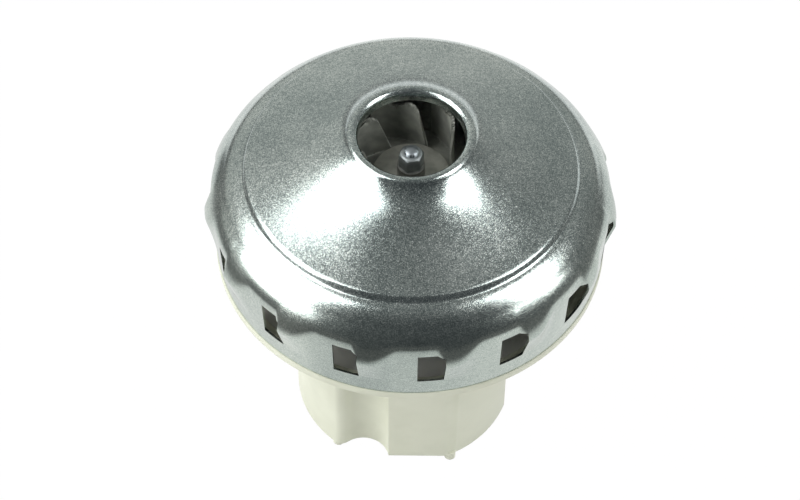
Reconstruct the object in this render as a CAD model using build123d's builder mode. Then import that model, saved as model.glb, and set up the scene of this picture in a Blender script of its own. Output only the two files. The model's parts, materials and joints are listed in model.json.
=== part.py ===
from build123d import *
from math import cos, hypot, radians, sin
import os

# A by-pass motor for a wet and dry vacuum cleaner. It stands on its closed bearing end, with the
# shaft up along +Z. The origin is on the shaft's axis, in the base plane. All sizes are in millimetres.

# Heights of the main stack, from the base plane
stud_length = 2.0
floor_thickness = 2.5
front_bearing_height = 105.0
bearing_stand = 12.0
flange_thickness = 3.2
flange_drop = 15.8
band_height = front_bearing_height - bearing_stand
flange_bottom = band_height - flange_thickness
body_top = flange_bottom - flange_drop

# Fan cover: pressed sheet. Rises are counted from the band's lower edge.
sheet = 0.8
fold_radius = 72.7
band_lean = 1.4
band_radius = fold_radius - band_lean
fold_rise = 27.0
foot_fold = 0.1
shoulder_curve = 13.0
cone_radius = fold_radius - 4.8
cone_rise = 33.4
step_radius = fold_radius - 12.3
step_rise = 38.5
step_drop = 1.9
step_slope = 0.7
dome_curve = 150.0
neck_radius = 32.7
neck_rise = 50.5
neck_curve = 33.6
eye_ring_radius = 22.85
eye_ring_rise = 57.85
eye_roll = 1.2
eye_roll_drop = 0.35
eye_radius = 19.15
lip_depth = 4.3

# Windows in the band, and the louvre pressed outwards beside each of them
window_count = 15
window_angle = 7.5
window_low = 7.6
window_high = 23.2
first_window = 224.2
louvre_reach = 2.3
louvre_radius = fold_radius + louvre_reach
louvre_rise = 19.5
louvre_angle = 11.5
ramp_angle = 2.0
louvre_fade_shares = ((0.0, 1.0), (0.3, 0.96), (0.55, 0.76), (0.8, 0.34), (1.0, 0.0))

# Housing: a moulded flange, the cooling fan's chamber and the lobed body
wall = 2.5
flange_overhang = 0.3
flange_radius = band_radius + flange_overhang
spigot_gap = 0.1
spigot_width = 4.5
spigot_height = 2.0
body_circle = 42.1
body_shift = 1.6
front_flat = 38.8
side_flat = 38.0
flute_radius = 10.0
flute_x = -17.3
flute_y = 40.6
flute_soft = 4.0
flute_crisp = 1.2
body_edge = 1.0
stud_radius = 2.2
stud_left = (-27.0, 30.0)
stud_right = (16.5, 36.4)
outlet_count = 10
outlet_angle = 24.0
outlet_height = 9.5
outlet_gap = 1.8
vent_width = 4.0
vent_inner = 18.0
vent_outer = 29.0
vent_angles = (50.0, 70.0, 90.0, 110.0, 130.0)

# Shaft and its bearings
shaft_radius = 4.0
tail_radius = 3.5
thread_radius = 2.5
tip_chamfer = 0.5
running_gap = 0.2
bearing_width = 7.0
bearing_radius = 11.0
race = 2.2
shield = 0.6
tail_bearing_width = 6.0
tail_bearing_radius = 9.5
rubber_lip = 0.6
cup_wall = 2.5
cup_floor = 1.8
shaft_start = 2.6

# Air guide: the moulded drum under the impeller, seen through the windows
drum_gap = 8.8
drum_radius = band_radius - drum_gap
guide_wall = 2.5
guide_rise = 25.5
guide_foot_width = 3.2
guide_foot_height = 2.0
seat_wall = 3.0
seat_shoulder = 2.0
seat_shoulder_width = 2.0
rib_count = 8
rib_thickness = 2.0
rib_height = 10.0
circlip_thickness = 1.0
circlip_width = 2.0
circlip_bite = 0.6
circlip_mouth = 12.0
screw_inset = 6.0
screw_circle = drum_radius - screw_inset
screw_count = 4
screw_radius = 1.5
screw_length = 12.0
screw_head_radius = 3.0
screw_head_height = 1.8
chamber_gap = 3.5
chamber_radius = screw_circle - screw_head_radius - chamber_gap
screw_boss_radius = 3.6
screw_turn = 45.0
screw_clearance = 0.2
screw_slot = 0.8
guide_round = 2.0

# Impeller: inducer, back plate, blades and front shroud, clamped on the shaft by washer and nut
rim_gap = 5.0
impeller_radius = drum_radius - rim_gap
plate_rise = 28.0
plate = 1.0
weld_gap = 0.02
shroud_gap = 1.6
shroud_neck_gap = 2.4
shroud_curve = 28.0
inlet_radius = 20.6
inlet_gap = 1.0
inlet_tube = 0.6
blade_count = 7
blade_thickness = 1.0
blade_inner = 26.6
blade_turn = 58.0
blade_bow = 0.2
vane_root_radius = 14.8
vane_root_angle = 14.0
vane_tip_radius = 17.7
vane_tip_angle = 33.0
vane_tip_rise = 51.5
vane_end_radius = 26.0
vane_end_rise = 46.2
vane_thickness = 1.2
vane_sink = 0.6
vane_pitch = 0.25
vane_end_turn = 60.0
vane_shares = ((0.0, 0.86), (0.08, 1.0), (0.35, 1.0), (0.65, 1.0), (1.0, 1.0))
hub_rise = 34.0
hub_flare = 18.0
hub_edge = 0.8
washer_radius = 13.9
washer_thickness = 1.5
washer_edge = 0.2
collar_radius = 5.0
collar_height = 5.0
nut_flats = 8.0
nut_height = 6.2
nut_chamfer = 0.9
nut_turn = 12.0
thread_end_rise = 48.2
spacer_radius = 6.0

# Stator: laminated core and its two field coils
stack_bottom = 37.0
stack_height = 32.0
stack_radius = 36.2
stack_flat = 35.0
air_gap = 0.6
stator_clearance = 0.3
slot_inner = 23.5
slot_outer = 31.0
slot_half_angle = 38.0
slot_mouth_angle = 27.0
coil_overhang = 7.0
coil_split_angle = 5.0
coil_leg_angle = 36.0
coil_round = 1.2
liner_angle = 2.0
frame_thickness = 0.8
stator_screw_circle = 33.7
stator_screw_radius = 1.25
stator_head_radius = 2.4
stator_head_height = 1.8
stator_screw_depth = 10.0
ledge_width = 7.0
ledge_inner = 31.2

# Armature and commutator
core_radius = 20.4
core_bottom = 38.0
core_height = 30.0
core_slot_count = 12
core_slot_width = 3.2
core_slot_depth = 8.4
end_plate = 1.2
head_inner = 7.5
head_outer = 18.6
head_round = 2.5
lower_head = 7.6
upper_head = 7.0
commutator_bottom = 14.0
commutator_height = 14.0
commutator_radius = 11.5
commutator_hub_radius = 7.0
riser_radius = 12.8
riser_height = 1.6
segment_count = 24
segment_gap_angle = 2.0

# Cooling fan under the flange
fan_bottom = 79.6
fan_gap = 3.5
fan_radius = chamber_radius - wall - fan_gap
fan_plate = 1.8
fan_hub_radius = 9.0
fan_blade_height = 8.6
fan_blade_count = 9
fan_blade_thickness = 2.0
fan_blade_inner = 17.0

# Carbon brushes, along X, in brass tubes held by moulded holders on the floor
brush_height = 21.0
brush_width = 6.3
brush_tall = 10.0
brush_length = 14.0
brush_start = 11.0
brush_fit = 0.05
tube_wall = 0.6
tube_start = 14.0
tube_end = 34.6
holder_start = 16.0
holder_wall = 2.2
holder_foot = 3.0
cap_thickness = 0.8
spring_wire = 0.6
spring_radius = 2.4
spring_turns = 5
holder_screw_place = 25.0
holder_screw_spread = 9.2
holder_foot_half = 12.4

# Flat terminals in a block in the back wall
terminal_width = 6.3
terminal_thickness = 0.8
terminal_length = 8.0
terminal_inner = 7.0
terminal_spread = 4.8
terminal_height = 14.0
block_width = 18.0
block_x = 3.6
block_height = 8.0
block_lip = 1.6
block_fit = 0.1
terminal_hole = 0.8
terminal_crop = 1.2

# One overrun for every cut that has to pass right through
overrun = 5.0


def up(rise):
    """Height over the base plane of a rise that is counted from the band's lower edge."""
    return band_height + rise


def annulus(outer, inner, height):
    """Flat ring at a height, or a disc where the inner radius is zero."""
    with BuildSketch(Plane.XY.offset(height)) as ring:
        Circle(outer)
        if inner > 0:
            Circle(inner, mode=Mode.SUBTRACT)
    return ring.sketch


def radial_plane(angle):
    """Upright plane through the shaft's axis: local X points outwards and local Y points up."""
    turn = radians(angle)
    return Plane(origin=(0, 0, 0), x_dir=(cos(turn), sin(turn), 0), z_dir=(sin(turn), -cos(turn), 0))


def finish(piece, name):
    """Names a finished sub-part and writes it."""
    piece.label = name
    export_step(piece, f"parts/{name}.step")


os.makedirs("parts", exist_ok=True)

# Fan cover

band_taper = (fold_radius - band_radius) / fold_rise


def band_at(rise):
    """Outer radius of the plain band at a rise."""
    return band_radius + band_taper * rise


def inward(start, end):
    """Unit normal on the inner side of a line that runs outwards and down."""
    run = end[0] - start[0]
    drop = end[1] - start[1]
    length = hypot(run, drop)
    return (drop / length, -run / length)


def mitre(point, first, second):
    """Inner corner of the sheet at a bend between two normals."""
    scale = sheet / (1 + first[0] * second[0] + first[1] * second[1])
    return (point[0] + scale * (first[0] + second[0]), point[1] + scale * (first[1] + second[1]))


def arc_centre(start, end, radius):
    """Centre of the shoulder's arc, below its chord."""
    chord = hypot(end[0] - start[0], end[1] - start[1])
    depth = (radius**2 - (chord / 2) ** 2) ** 0.5
    normal = inward(start, end)
    middle = ((start[0] + end[0]) / 2, (start[1] + end[1]) / 2)
    return (middle[0] + depth * normal[0], middle[1] + depth * normal[1])


skirt_start = (step_radius - sheet / 2, up(step_rise))
cone_start = (cone_radius, up(cone_rise))
shoulder_centre = arc_centre(skirt_start, cone_start, shoulder_curve)


def on_arc(centre, point, radius):
    """Point on the ray from an arc's centre through a point, at a radius."""
    run = point[0] - centre[0]
    rise = point[1] - centre[1]
    scale = radius / hypot(run, rise)
    return (centre[0] + scale * run, centre[1] + scale * rise)


def skirt_section(angle, share):
    """Cut through shoulder and band: share 0 is the plain sheet, share 1 the full louvre."""
    middle = ((skirt_start[0] + cone_start[0]) / 2, (skirt_start[1] + cone_start[1]) / 2)
    crest = on_arc(shoulder_centre, middle, shoulder_curve)
    bend = (
        fold_radius + share * (louvre_radius - fold_radius),
        up(fold_rise + share * (louvre_rise - fold_rise)),
    )
    foot = (band_at(window_low) + foot_fold, up(window_low))
    edge = (band_radius, up(0))
    arc_normal = on_arc(shoulder_centre, cone_start, shoulder_curve - sheet)
    arc_normal = ((arc_normal[0] - cone_start[0]) / sheet, (arc_normal[1] - cone_start[1]) / sheet)
    cone_normal = inward(cone_start, bend)
    band_normal = inward(bend, foot)
    edge_normal = inward(foot, edge)
    inner_cone = mitre(cone_start, arc_normal, cone_normal)
    inner_bend = mitre(bend, cone_normal, band_normal)
    inner_foot = mitre(foot, band_normal, edge_normal)
    inner_edge = (edge[0] + sheet * edge_normal[0], edge[1])
    inner_start = on_arc(shoulder_centre, skirt_start, shoulder_curve - sheet)
    inner_crest = on_arc(shoulder_centre, middle, shoulder_curve - sheet)
    with BuildLine(radial_plane(angle)) as section:
        ThreePointArc(skirt_start, crest, cone_start)
        Polyline(cone_start, bend, foot, edge, inner_edge, inner_foot, inner_bend, inner_cone)
        ThreePointArc(inner_cone, inner_crest, inner_start)
        Line(inner_start, skirt_start)
    return Face(section.wire())


with BuildSketch(radial_plane(-window_angle)) as window_section:
    with BuildLine():
        window_depth = louvre_radius - band_radius + overrun
        Polyline(
            (band_radius - window_depth, up(window_low)),
            (band_radius + window_depth, up(window_low)),
            (band_radius + window_depth, up(window_high)),
            (band_radius - window_depth, up(window_high)),
            close=True,
        )
    make_face()

with BuildPart() as window_punch:
    revolve(window_section.sketch, axis=Axis.Z, revolution_arc=window_angle)

pitch = 360 / window_count

with BuildPart() as louvre:
    loft([skirt_section(share[0] * louvre_angle, share[1]) for share in louvre_fade_shares])

with BuildPart() as ramp:
    loft([skirt_section(-ramp_angle, 0), skirt_section(0, 1)], ruled=True)
    add(window_punch.part, mode=Mode.SUBTRACT)

with BuildPart() as plain_band:
    revolve(
        skirt_section(louvre_angle, 0),
        axis=Axis.Z,
        revolution_arc=pitch - louvre_angle - ramp_angle,
    )
    with PolarLocations(0, 1, start_angle=pitch):
        add(window_punch.part, mode=Mode.SUBTRACT)

with BuildPart() as skirt_sector:
    add(louvre.part)
    add(ramp.part)
    add(plain_band.part)

with BuildPart() as skirt:
    with PolarLocations(0, window_count, start_angle=first_window + window_angle):
        add(skirt_sector.part)

with BuildPart() as fan_cover:
    lip_top = up(eye_ring_rise - eye_roll_drop)
    with BuildSketch(Plane.XZ):
        with BuildLine():
            with BuildLine():
                lip = Line((eye_radius, lip_top - lip_depth), (eye_radius, lip_top - eye_roll))
                roll = RadiusArc(lip @ 1, (eye_radius + eye_roll, lip_top), eye_roll)
                crown = Line(roll @ 1, (eye_ring_radius, up(eye_ring_rise)))
                neck = RadiusArc(crown @ 1, (neck_radius, up(neck_rise)), -neck_curve)
                dome = RadiusArc(neck @ 1, (step_radius - step_slope, up(step_rise + step_drop)), dome_curve)
                riser = Line(dome @ 1, (step_radius, up(step_rise)))
                Line(riser @ 1, (step_radius, up(step_rise) - sheet / 2))
                offset(amount=sheet, side=Side.RIGHT)
        make_face()
    revolve(axis=Axis.Z)
    add(skirt.part)
finish(fan_cover.part, "fan_cover")

# Motor housing


def near(corner, x, y, reach):
    """Whether a corner of a plan lies within reach of a point, on either side of the XZ plane."""
    return hypot(corner.X - x, abs(corner.Y) - y) < reach


def body_plan(inset, height):
    """Outline of the lobed body, drawn in by an inset, with the corners at its flutes rounded."""
    with BuildSketch(Plane.XY.offset(height)) as plan:
        with Locations((-body_shift, 0)):
            Circle(body_circle - inset)
        with Locations((side_flat - inset, 0)):
            Rectangle(
                2 * body_circle,
                2 * (front_flat - inset),
                align=(Align.MAX, Align.CENTER),
                mode=Mode.INTERSECT,
            )
        with Locations((flute_x, flute_y), (flute_x, -flute_y)):
            Circle(flute_radius + inset, mode=Mode.SUBTRACT)
        at_flute = [v for v in plan.vertices() if near(v, flute_x, flute_y, flute_radius + inset + flute_crisp)]
        fillet([v for v in at_flute if v.X < flute_x], flute_soft)
        fillet([v for v in plan.vertices() if v in at_flute and v.X > flute_x], flute_crisp)
    return plan.sketch


def sector(outer, inner, start, end, height):
    """Flat piece of a ring between two angles."""
    with BuildSketch(Plane.XY.offset(height)) as piece:
        with BuildLine():
            inside = CenterArc((0, 0), inner, start, end - start)
            outside = CenterArc((0, 0), outer, start, end - start)
            Line(inside @ 0, outside @ 0)
            Line(inside @ 1, outside @ 1)
        make_face()
    return piece.sketch


floor_top = stud_length + floor_thickness
chamber_floor = body_top + wall
chamber_inner = chamber_radius - wall
spigot_radius = band_radius - sheet - spigot_gap
rear_bearing_height = cup_floor + rubber_lip
rear_bearing_top = rear_bearing_height + tail_bearing_width
cup_radius = bearing_radius + cup_wall
cup_top = rear_bearing_top + rubber_lip
outlet_top = flange_bottom - outlet_gap
block_outer = front_flat + block_lip
block_inner = front_flat - wall - block_lip

with BuildPart() as motor_housing:
    extrude(body_plan(0, stud_length), amount=body_top - stud_length)
    chamfer(motor_housing.faces().sort_by(Axis.Z)[0].edges(), body_edge)
    with BuildSketch():
        with Locations(
            (stud_left[0], stud_left[1]),
            (stud_left[0], -stud_left[1]),
            (stud_right[0], stud_right[1]),
            (stud_right[0], -stud_right[1]),
        ):
            Circle(stud_radius)
    extrude(amount=floor_top)
    extrude(annulus(chamber_radius, 0, body_top), amount=flange_bottom - body_top)
    extrude(annulus(flange_radius, 0, flange_bottom), amount=flange_thickness)
    extrude(annulus(spigot_radius, spigot_radius - spigot_width, band_height), amount=spigot_height)
    extrude(annulus(chamber_inner, 0, chamber_floor), amount=overrun + flange_bottom - body_top, mode=Mode.SUBTRACT)
    extrude(body_plan(wall, floor_top), amount=chamber_floor - floor_top, mode=Mode.SUBTRACT)
    extrude(annulus(cup_radius, 0, 0), amount=cup_top)
    extrude(annulus(bearing_radius, 0, cup_floor), amount=cup_top - cup_floor, mode=Mode.SUBTRACT)
    with BuildSketch(Plane.XY.offset(floor_top)):
        with PolarLocations(ledge_inner, 4, start_angle=screw_turn):
            Rectangle(body_circle - ledge_inner, ledge_width, align=(Align.MIN, Align.CENTER))
        add(body_plan(wall / 2, floor_top), mode=Mode.INTERSECT)
    extrude(amount=stack_bottom - floor_top)
    with Locations(Plane.XY.offset(stack_bottom)):
        with PolarLocations(stator_screw_circle, 2, start_angle=screw_turn):
            Hole(stator_screw_radius, stator_screw_depth + overrun)
    with BuildSketch(Plane.XY.offset(floor_top)):
        for angle in vent_angles:
            for side in (angle, -angle):
                with PolarLocations((vent_inner + vent_outer) / 2, 1, start_angle=side):
                    SlotOverall(vent_outer - vent_inner, vent_width)
    extrude(amount=-floor_thickness, mode=Mode.SUBTRACT)
    with BuildSketch(Plane.XY.offset(outlet_top)):
        for place in range(outlet_count):
            start = (place - outlet_angle / 2 * outlet_count / 360) * 360 / outlet_count
            add(sector(chamber_radius + wall, chamber_inner - wall, start, start + outlet_angle, 0))
    extrude(amount=-outlet_height, mode=Mode.SUBTRACT)
    with Locations(Plane.XY.offset(flange_bottom)):
        with PolarLocations(screw_circle, screw_count, start_angle=screw_turn):
            Hole(screw_radius + screw_clearance, overrun)
    with BuildSketch(Plane.XY.offset(flange_bottom)):
        with PolarLocations(screw_circle, screw_count, start_angle=screw_turn):
            Circle(screw_head_radius + screw_clearance)
    extrude(amount=screw_head_height, mode=Mode.SUBTRACT)
    with BuildSketch(Plane.XZ.offset(-front_flat - overrun)):
        with Locations((block_x, terminal_height)):
            Rectangle(block_width, block_height)
    extrude(amount=2 * overrun, mode=Mode.SUBTRACT)
    with BuildSketch(Plane.XY.offset(floor_top)):
        for side in (1, -1):
            with Locations(
                (side * holder_screw_place, holder_screw_spread),
                (side * holder_screw_place, -holder_screw_spread),
            ):
                Circle(screw_radius)
    extrude(amount=-floor_thickness, mode=Mode.SUBTRACT)
finish(motor_housing.part, "motor_housing")

# Air guide: the moulded drum between the flange and the impeller

guide_top = up(guide_rise)
guide_disc = guide_top - guide_wall
seat_bottom = front_bearing_height - seat_shoulder
front_bearing_top = front_bearing_height + bearing_width
seat_radius = bearing_radius + seat_wall

with BuildPart() as air_guide:
    extrude(annulus(drum_radius, 0, band_height), amount=guide_rise)
    extrude(annulus(drum_radius + guide_foot_width, 0, band_height), amount=guide_foot_height)
    fillet(air_guide.edges().filter_by(GeomType.CIRCLE).sort_by(Axis.Z)[-1], guide_round)
    extrude(annulus(drum_radius - guide_wall, 0, band_height), amount=guide_rise - guide_wall, mode=Mode.SUBTRACT)
    with BuildSketch(Plane.XY.offset(guide_disc)):
        with PolarLocations(0, rib_count):
            Rectangle(drum_radius - guide_wall / 2, rib_thickness, align=(Align.MIN, Align.CENTER))
    extrude(amount=-rib_height)
    extrude(annulus(seat_radius, 0, seat_bottom), amount=guide_top - seat_bottom)
    with BuildSketch(Plane.XY.offset(band_height)):
        with PolarLocations(screw_circle, screw_count, start_angle=screw_turn):
            Circle(screw_boss_radius)
    extrude(amount=guide_rise - guide_wall)
    extrude(
        annulus(bearing_radius, 0, front_bearing_height),
        amount=guide_top - front_bearing_height,
        mode=Mode.SUBTRACT,
    )
    extrude(
        annulus(bearing_radius - seat_shoulder_width, 0, seat_bottom),
        amount=seat_shoulder,
        mode=Mode.SUBTRACT,
    )
    extrude(
        annulus(bearing_radius + circlip_bite, 0, front_bearing_top),
        amount=circlip_thickness,
        mode=Mode.SUBTRACT,
    )
    with BuildSketch(Plane.XY.offset(band_height)):
        with PolarLocations(screw_circle, screw_count, start_angle=screw_turn):
            Circle(screw_radius)
    extrude(amount=screw_length - flange_thickness, mode=Mode.SUBTRACT)
finish(air_guide.part, "air_guide")

with BuildPart() as guide_screws:
    with BuildSketch(Plane.XY.offset(flange_bottom)):
        with PolarLocations(screw_circle, screw_count, start_angle=screw_turn):
            Circle(screw_radius)
    extrude(amount=screw_length)
    with BuildSketch(Plane.XY.offset(flange_bottom)):
        with PolarLocations(screw_circle, screw_count, start_angle=screw_turn):
            Circle(screw_head_radius)
    extrude(amount=screw_head_height)
    with BuildSketch(Plane.XY.offset(flange_bottom)):
        with PolarLocations(screw_circle, screw_count, start_angle=screw_turn):
            Rectangle(2 * screw_head_radius, screw_slot)
    extrude(amount=screw_slot, mode=Mode.SUBTRACT)
finish(guide_screws.part, "guide_screws")

# Bearings: a shielded outer race in its seat and an inner race that turns with the shaft

with BuildPart() as front_bearing_outer:
    bore = shaft_radius + race + running_gap
    extrude(annulus(bearing_radius, bore, front_bearing_height), amount=bearing_width)
    extrude(
        annulus(bearing_radius - race, 0, front_bearing_height + shield),
        amount=bearing_width - 2 * shield,
        mode=Mode.SUBTRACT,
    )
finish(front_bearing_outer.part, "front_bearing_outer")

with BuildPart() as front_bearing_inner:
    extrude(annulus(shaft_radius + race, shaft_radius, front_bearing_height), amount=bearing_width)
finish(front_bearing_inner.part, "front_bearing_inner")

with BuildPart() as bearing_circlip:
    circlip_outer = bearing_radius + circlip_bite
    extrude(
        sector(circlip_outer, circlip_outer - circlip_width, circlip_mouth, 360 - circlip_mouth, front_bearing_top),
        amount=circlip_thickness,
    )
finish(bearing_circlip.part, "bearing_circlip")

with BuildPart() as rear_bearing_outer:
    bore = tail_radius + race + running_gap
    extrude(annulus(tail_bearing_radius, bore, rear_bearing_height), amount=tail_bearing_width)
    extrude(
        annulus(tail_bearing_radius - race, 0, rear_bearing_height + shield),
        amount=tail_bearing_width - 2 * shield,
        mode=Mode.SUBTRACT,
    )
finish(rear_bearing_outer.part, "rear_bearing_outer")

with BuildPart() as rear_bearing_inner:
    extrude(annulus(tail_radius + race, tail_radius, rear_bearing_height), amount=tail_bearing_width)
finish(rear_bearing_inner.part, "rear_bearing_inner")

with BuildPart() as rear_bearing_ring:
    extrude(annulus(bearing_radius, tail_bearing_radius - race / 2, cup_floor), amount=cup_top - cup_floor)
    extrude(
        annulus(tail_bearing_radius, 0, rear_bearing_height),
        amount=tail_bearing_width,
        mode=Mode.SUBTRACT,
    )
finish(rear_bearing_ring.part, "rear_bearing_ring")

# Shaft: tail, ground length and the threaded end under the nut

plate_height = up(plate_rise)
hub_top = up(hub_rise)
washer_top = hub_top + washer_thickness
collar_top = washer_top + collar_height

with BuildPart() as shaft:
    with BuildSketch(Plane.XZ):
        with BuildLine():
            Polyline(
                (0, shaft_start),
                (tail_radius - tip_chamfer, shaft_start),
                (tail_radius, shaft_start + tip_chamfer),
                (tail_radius, rear_bearing_top),
                (shaft_radius, rear_bearing_top),
                (shaft_radius, hub_top - tip_chamfer),
                (thread_radius, hub_top - tip_chamfer),
                (thread_radius, up(thread_end_rise) - tip_chamfer),
                (thread_radius - tip_chamfer, up(thread_end_rise)),
                (0, up(thread_end_rise)),
                close=True,
            )
        make_face()
    revolve(axis=Axis.Z)
finish(shaft.part, "shaft")

with BuildPart() as spacer_bush:
    extrude(annulus(spacer_radius, shaft_radius, front_bearing_top), amount=plate_height - front_bearing_top)
finish(spacer_bush.part, "spacer_bush")

# Impeller: back plate, seven blades, shroud and the inducer in the eye

with BuildPart() as impeller_back_plate:
    extrude(annulus(impeller_radius, shaft_radius, plate_height), amount=plate)
finish(impeller_back_plate.part, "impeller_back_plate")

shroud_drop = sheet + shroud_gap
inlet_top = up(eye_ring_rise - eye_roll_drop) - lip_depth - inlet_gap
shroud_neck = (neck_radius, up(neck_rise) - shroud_neck_gap)
dome_fall = (neck_rise - step_rise - step_drop) / (step_radius - step_slope - neck_radius)
shroud_rim = (
    impeller_radius,
    up(step_rise + step_drop) - shroud_drop + dome_fall * (step_radius - step_slope - impeller_radius),
)

with BuildPart() as impeller_shroud:
    with BuildSketch(Plane.XZ):
        with BuildLine():
            with BuildLine():
                inlet = Line((inlet_radius + plate, inlet_top), (inlet_radius + plate, inlet_top - inlet_tube))
                swan = RadiusArc(inlet @ 1, shroud_neck, -shroud_curve)
                RadiusArc(swan @ 1, shroud_rim, dome_curve)
                offset(amount=plate, side=Side.RIGHT)
        make_face()
    revolve(axis=Axis.Z)
finish(impeller_shroud.part, "impeller_shroud")

shroud_centre = arc_centre(shroud_neck, shroud_rim, dome_curve)
blade_top_curve = dome_curve - plate - weld_gap
blade_top_inner = on_arc(shroud_centre, shroud_neck, blade_top_curve)
blade_top_outer = on_arc(shroud_centre, shroud_rim, blade_top_curve)

with BuildPart() as under_shroud:
    with BuildSketch(Plane.XZ):
        with BuildLine():
            RadiusArc(blade_top_inner, blade_top_outer, blade_top_curve)
            Polyline(
                blade_top_outer,
                (blade_top_outer[0], plate_height + plate),
                (0, plate_height + plate),
                (0, blade_top_inner[1]),
                blade_top_inner,
            )
        make_face()
    revolve(axis=Axis.Z)

with BuildPart() as impeller_blades:
    blade_first = vane_root_angle + vane_end_turn
    with BuildSketch(Plane.XY.offset(plate_height + plate)):
        with BuildLine() as blade_line:
            SagittaArc(
                Vector(blade_inner, 0).rotate(Axis.Z, blade_first),
                Vector(impeller_radius, 0).rotate(Axis.Z, blade_first + blade_turn),
                blade_bow,
            )
        trace(blade_line.line, line_width=blade_thickness)
    extrude(amount=shroud_neck[1] - plate_height)
    add(under_shroud.part, mode=Mode.INTERSECT)
    with PolarLocations(0, blade_count):
        add(impeller_blades.part)
finish(impeller_blades.part, "impeller_blades")

hub_middle = ((washer_radius + vane_end_radius) / 2, (hub_top + plate_height + plate + hub_edge) / 2)
hub_shoulder = arc_centre((washer_radius, hub_top), (vane_end_radius, plate_height + plate + hub_edge), hub_flare)
hub_centre = (2 * hub_middle[0] - hub_shoulder[0], 2 * hub_middle[1] - hub_shoulder[1])


def hub_height(radius):
    """Height of the hub's hollow flare at a radius."""
    return hub_centre[1] - (hub_flare**2 - (radius - hub_centre[0]) ** 2) ** 0.5


def vane_point(radius, angle, height):
    """Point on a vane from its radius, angle and height."""
    return Vector(radius * cos(radians(angle)), radius * sin(radians(angle)), height)


def vane_section(share, top_share):
    """Flat cut across a vane, from its leading edge at share 0 to its end at share 1."""
    end_angle = vane_root_angle + vane_end_turn
    root_radius = vane_root_radius + share * (vane_end_radius - vane_root_radius)
    tip_radius = vane_tip_radius + share * (vane_end_radius - vane_tip_radius)
    root = vane_point(
        root_radius,
        vane_root_angle + share * (end_angle - vane_root_angle),
        hub_height(root_radius) - vane_sink,
    )
    tip = vane_point(
        tip_radius,
        vane_tip_angle + share * (end_angle - vane_tip_angle),
        up(vane_tip_rise + share * (vane_end_rise - vane_tip_rise)),
    )
    tip = root + (tip - root) * top_share
    outwards = Vector(root.X, root.Y, 0).normalized()
    around = Vector(-outwards.Y, outwards.X, 0)
    across = (tip - root).cross(around + outwards * vane_pitch).normalized() * (vane_thickness / 2)
    return Face(Wire.make_polygon([root - across, root + across, tip + across, tip - across]))


with BuildPart() as vane:
    loft([vane_section(share[0], share[1]) for share in vane_shares])

with BuildPart() as inducer:
    with BuildSketch(Plane.XZ):
        with BuildLine():
            hub_line = Polyline(
                (washer_radius, hub_top),
                (shaft_radius, hub_top),
                (shaft_radius, plate_height + plate),
                (vane_end_radius, plate_height + plate),
                (vane_end_radius, plate_height + plate + hub_edge),
            )
            RadiusArc(hub_line @ 1, hub_line @ 0, hub_flare)
        make_face()
    revolve(axis=Axis.Z)
    with PolarLocations(0, blade_count):
        add(vane.part)
finish(inducer.part, "inducer")

with BuildPart() as clamp_washer:
    extrude(annulus(washer_radius, thread_radius, hub_top), amount=washer_thickness)
    chamfer(clamp_washer.edges().filter_by(GeomType.CIRCLE).group_by(Axis.Z)[-1].sort_by(SortBy.RADIUS)[-1], washer_edge)
finish(clamp_washer.part, "clamp_washer")

with BuildPart() as lock_collar:
    extrude(annulus(collar_radius, thread_radius, washer_top), amount=collar_height)
finish(lock_collar.part, "lock_collar")

with BuildPart() as impeller_nut:
    with BuildSketch(Plane.XY.offset(collar_top)):
        RegularPolygon(nut_flats / 2, 6, major_radius=False, rotation=nut_turn)
    extrude(amount=nut_height)
    with BuildSketch(Plane.XZ):
        with BuildLine():
            Polyline(
                (thread_radius, collar_top),
                (nut_flats / 3**0.5, collar_top),
                (nut_flats / 3**0.5, collar_top + nut_height - nut_chamfer),
                (nut_flats / 2 - nut_chamfer / 2, collar_top + nut_height),
                (thread_radius, collar_top + nut_height),
                close=True,
            )
        make_face()
    revolve(axis=Axis.Z, mode=Mode.INTERSECT)
finish(impeller_nut.part, "impeller_nut")

# Cooling fan under the flange: a plate with straight blades hanging from it

fan_plate_bottom = fan_bottom + fan_blade_height

with BuildPart() as cooling_fan:
    extrude(annulus(fan_radius, shaft_radius, fan_plate_bottom), amount=fan_plate)
    extrude(annulus(fan_hub_radius, shaft_radius, fan_bottom), amount=fan_blade_height)
    with BuildSketch(Plane.XY.offset(fan_bottom)):
        with PolarLocations(fan_blade_inner, fan_blade_count):
            Rectangle(fan_radius - fan_blade_inner, fan_blade_thickness, align=(Align.MIN, Align.CENTER))
        add(annulus(fan_radius, 0, 0), mode=Mode.INTERSECT)
    extrude(amount=fan_blade_height)
finish(cooling_fan.part, "cooling_fan")

# Armature on the shaft, with its winding in the slots, and the commutator under it

core_top = core_bottom + core_height


def core_plan(height):
    """Round lamination with open slots for the winding."""
    with BuildSketch(Plane.XY.offset(height)) as plan:
        Circle(core_radius)
        Circle(shaft_radius, mode=Mode.SUBTRACT)
        with PolarLocations(core_radius - core_slot_depth, core_slot_count):
            Rectangle(
                core_slot_depth + core_slot_width,
                core_slot_width,
                align=(Align.MIN, Align.CENTER),
                mode=Mode.SUBTRACT,
            )
    return plan.sketch


with BuildPart() as armature_core:
    extrude(core_plan(core_bottom), amount=core_height)
finish(armature_core.part, "armature_core")

with BuildPart() as armature_end_plates:
    extrude(core_plan(core_bottom), amount=-end_plate)
    extrude(core_plan(core_top), amount=end_plate)
finish(armature_end_plates.part, "armature_end_plates")

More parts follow.
